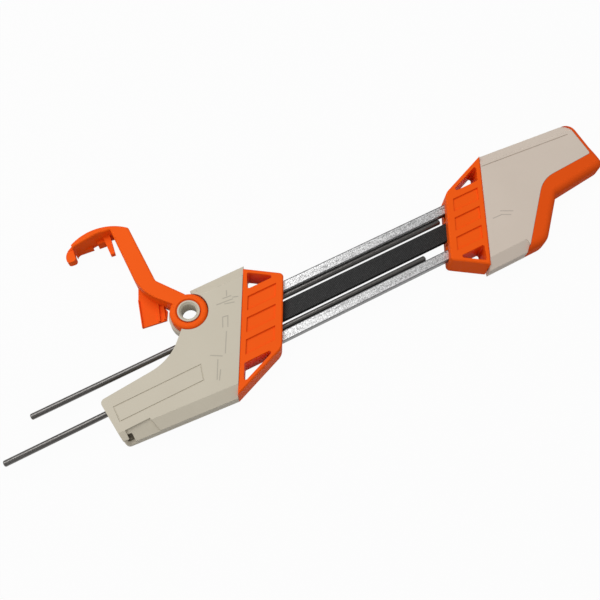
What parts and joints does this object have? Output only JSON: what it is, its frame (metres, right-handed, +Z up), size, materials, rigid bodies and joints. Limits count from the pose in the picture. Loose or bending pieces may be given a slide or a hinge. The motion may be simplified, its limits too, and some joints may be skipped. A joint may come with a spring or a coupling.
{
  "type": "chainsaw file guide",
  "caption": "Hand guide for sharpening saw chains: plastic handles joined by steel rails, a fixed flat file, sliding round files and a hinged locking lever that covers their ends.",
  "frame": {"origin": "on the axis of the hanging eye, at half the thickness of the handles", "axes": "+X along the tool from the left handle (eye and lever) to the right handle, +Y across the tool towards the side the opened lever points to, +Z up out of the face with the bracket pockets"},
  "size_m": [0.4514, 0.1492, 0.017],
  "materials": {
    "cream": "fine moulded texture",
    "orange": "satin moulded",
    "black": "moulded",
    "zinc": "bright plated",
    "galvanised": "speckled galvanised",
    "file_steel": "dark cut steel"
  },
  "bodies": {
    "frame": {"flat_file": "file_steel", "grip_surround": "orange", "left_bracket": "orange", "left_file_guide": "black", "left_lower_shell": "cream", "left_rail_pins": "zinc", "left_shell_screws": "zinc", "left_upper_shell": "cream", "lower_guide_rail": "galvanised", "pivot_bush": "cream", "pivot_washer": "black", "right_bracket": "orange", "right_file_guide": "black", "right_lower_shell": "cream", "right_rail_pins": "zinc", "right_shell_screws": "zinc", "right_upper_shell": "cream", "upper_guide_rail": "galvanised"},
    "lever": {"lever": "orange"},
    "upper_file": {"upper_round_file": "file_steel"},
    "lower_file": {"lower_round_file": "file_steel"}
  },
  "joints": [
    {"name": "lever_swing", "type": "hinge", "parent": "frame", "child": "lever", "pos_m": [0, 0, 0], "axis": [0, 0, 1], "range_deg": [0, 95]},
    {"name": "upper_file_slide", "type": "slide", "parent": "frame", "child": "upper_file", "axis": [1, 0, 0], "range_m": [0, 0.113]},
    {"name": "lower_file_slide", "type": "slide", "parent": "frame", "child": "lower_file", "axis": [1, 0, 0], "range_m": [0, 0.086]}
  ],
  "couplings": [
    {"joint": "upper_file_slide", "follows": "lever_swing", "m_per_rad": 0.068},
    {"joint": "lower_file_slide", "follows": "lever_swing", "m_per_rad": 0.0518}
  ]
}
